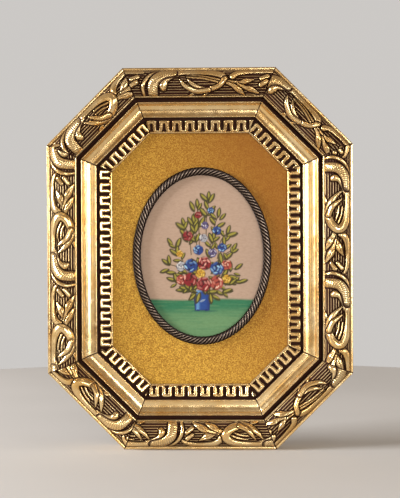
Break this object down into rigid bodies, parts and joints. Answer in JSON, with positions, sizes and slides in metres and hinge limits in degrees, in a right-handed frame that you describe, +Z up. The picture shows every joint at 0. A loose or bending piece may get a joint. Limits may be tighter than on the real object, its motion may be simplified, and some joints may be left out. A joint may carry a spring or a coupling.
{
  "type": "framed painting",
  "caption": "Small upright octagonal gilt frame with a carved scroll band, cove and meander edge around a gold mat, with a flower painting in an oval roped rim.",
  "frame": {"origin": "the point on the plane of the frame's back where the hanger's middle notch rests on its nail", "axes": "+Z up, the picture faces -Y, +X to the right as the picture is seen"},
  "size_m": [0.2032, 0.026, 0.254],
  "materials": {
    "gilt_moulding": "gold leaf over carved ornament, with a brown wash in the hollows",
    "gold_mat": "fine glittering gold flock",
    "rope_rim": "dark bronzed",
    "painted_oval": "hand-painted, satin varnish",
    "backing_board": "plain brown board",
    "fixings": "brass-plated"
  },
  "bodies": {
    "root": {"rail_top": "gilt_moulding", "rail_top_right": "gilt_moulding", "rail_right": "gilt_moulding", "rail_bottom_right": "gilt_moulding", "rail_bottom": "gilt_moulding", "rail_bottom_left": "gilt_moulding", "rail_left": "gilt_moulding", "rail_top_left": "gilt_moulding", "mat_board": "gold_mat", "rope_rim": "rope_rim", "painted_oval": "painted_oval", "backing_board": "backing_board", "brad_top": "fixings", "brad_top_right": "fixings", "brad_right": "fixings", "brad_bottom_right": "fixings", "brad_bottom": "fixings", "brad_bottom_left": "fixings", "brad_left": "fixings", "brad_top_left": "fixings", "hanger_plate": "fixings", "hanger_pin_left": "fixings", "hanger_pin_right": "fixings"}
  },
  "joints": []
}
